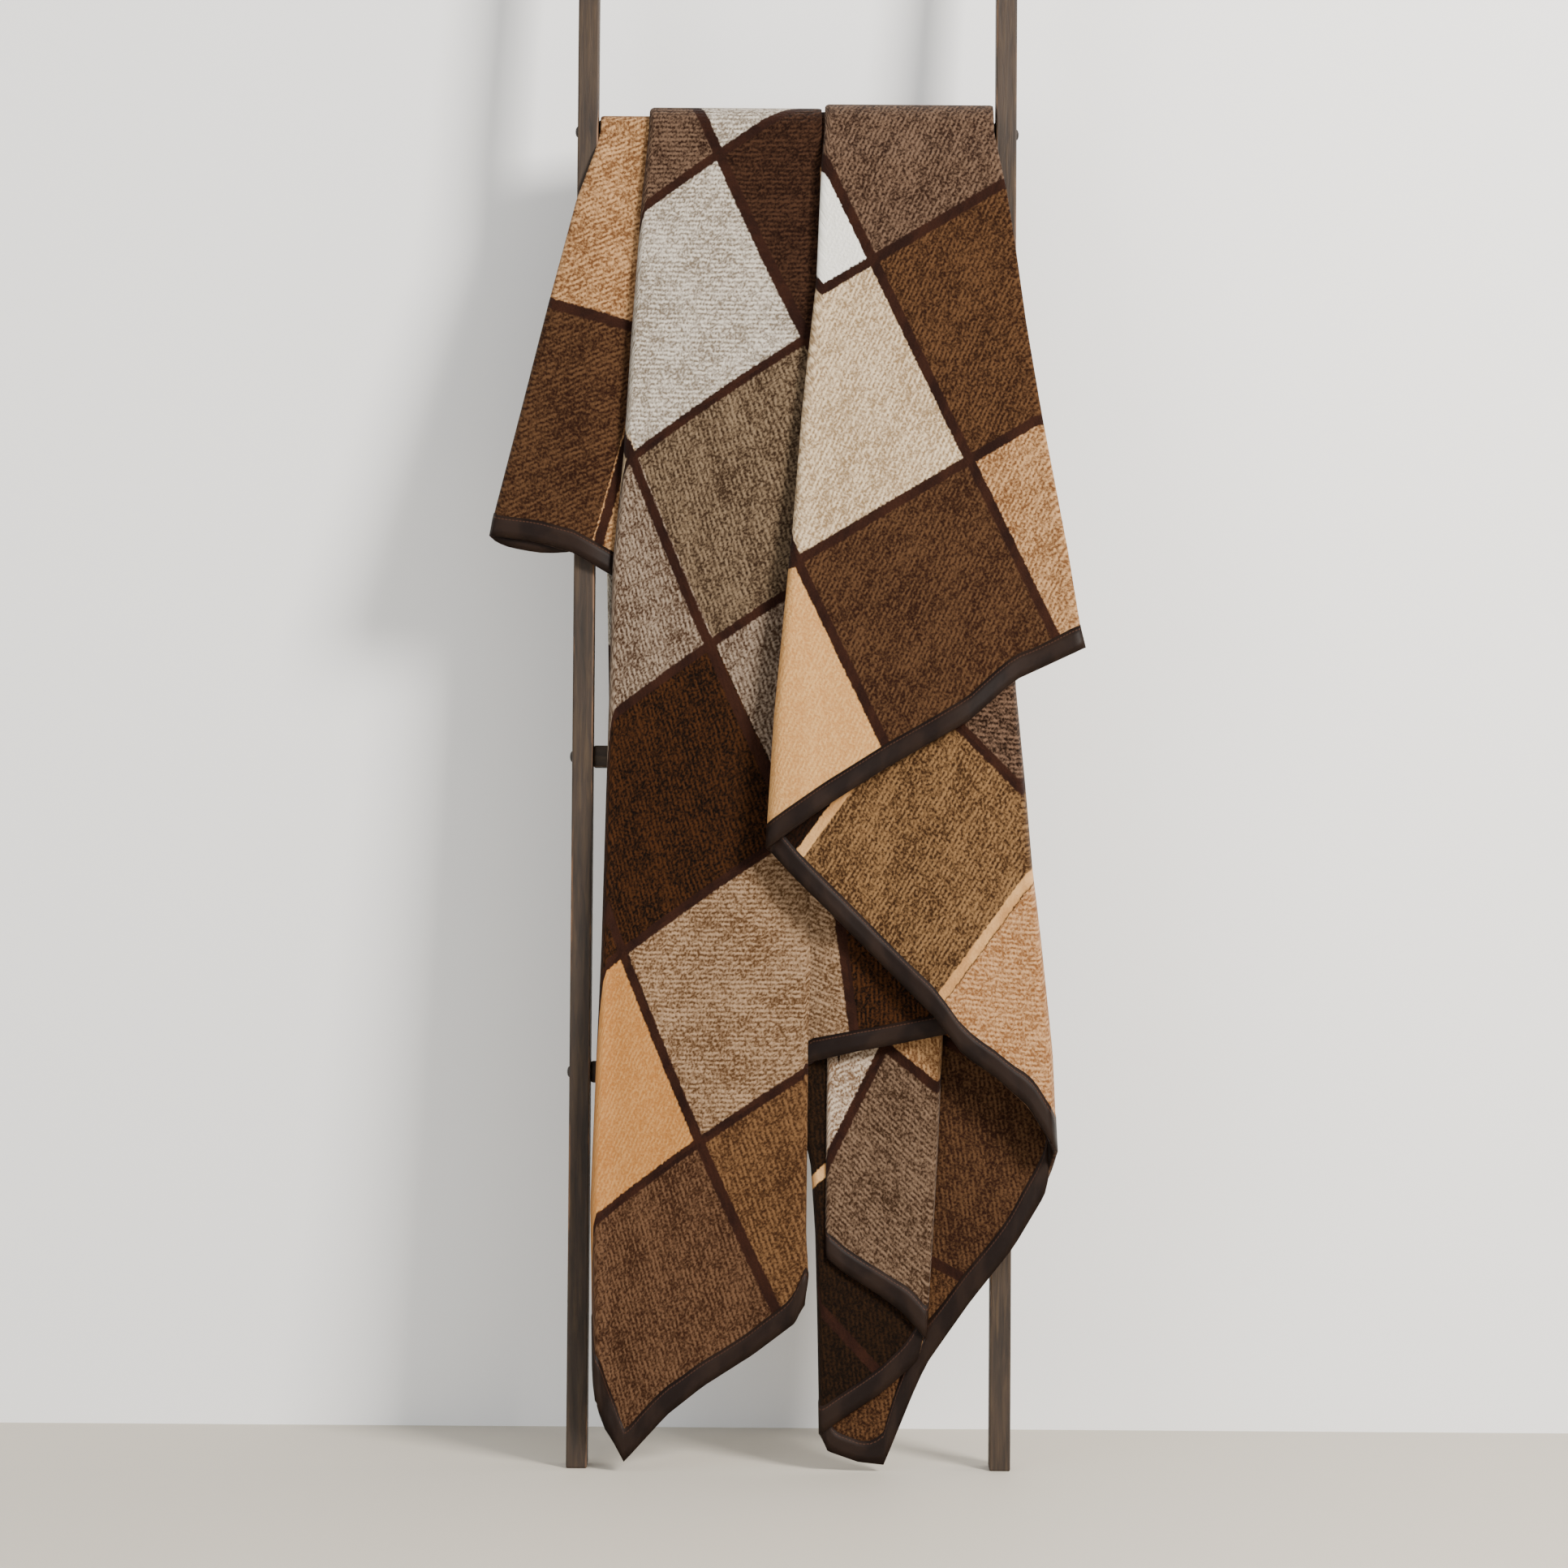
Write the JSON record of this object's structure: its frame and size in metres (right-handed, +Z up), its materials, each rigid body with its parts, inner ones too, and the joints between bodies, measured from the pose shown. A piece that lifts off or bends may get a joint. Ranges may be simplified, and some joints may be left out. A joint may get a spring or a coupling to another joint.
{
  "type": "quilt on a blanket ladder",
  "caption": "Plush patchwork-print quilt with a satin bound edge, gathered over the top rung of a leaning dark-stained wooden blanket ladder",
  "frame": {"origin": "on the floor, under the middle of the whole assembly's box", "axes": "+X to the right seen from the front, +Y from the front towards the wall, +Z up; the ladder leans towards +Y by 5.66 degrees"},
  "size_m": [0.6914, 0.2446, 1.8231],
  "materials": {
    "stained_wood": "dark brown-grey stain, worn at the edges, matt",
    "screw_steel": "blackened, satin",
    "plush_cloth": "short plush pile with flecked patches in browns, camel, taupe and ivory",
    "satin_binding": "dark brown satin weave, soft sheen"
  },
  "bodies": {
    "ladder": {"left_rail": "stained_wood", "right_rail": "stained_wood", "rung_1": "stained_wood", "rung_2": "stained_wood", "rung_3": "stained_wood", "rung_4": "stained_wood", "screw_1_left": "screw_steel", "screw_1_right": "screw_steel", "screw_2_left": "screw_steel", "screw_2_right": "screw_steel", "screw_3_left": "screw_steel", "screw_3_right": "screw_steel", "screw_4_left": "screw_steel", "screw_4_right": "screw_steel"},
    "quilt": {"quilt_over_rung": "plush_cloth", "quilt_left_flap": "plush_cloth", "quilt_long_fall": "plush_cloth", "quilt_front_fold": "plush_cloth", "quilt_turned_fold": "plush_cloth", "quilt_middle_fold": "plush_cloth", "quilt_inner_fold": "plush_cloth", "quilt_return_fold": "plush_cloth", "quilt_back_fall": "plush_cloth", "binding_left_flap": "satin_binding", "binding_long_fall": "satin_binding", "binding_front_fold": "satin_binding", "binding_turned_fold": "satin_binding", "binding_middle_fold": "satin_binding", "binding_inner_fold": "satin_binding", "binding_return_fold": "satin_binding", "binding_back_fall": "satin_binding"}
  },
  "joints": [
    {"name": "quilt_lift", "type": "slide", "parent": "ladder", "child": "quilt", "axis": [0, 0, 1], "range_m": [0, 0.92]}
  ]
}
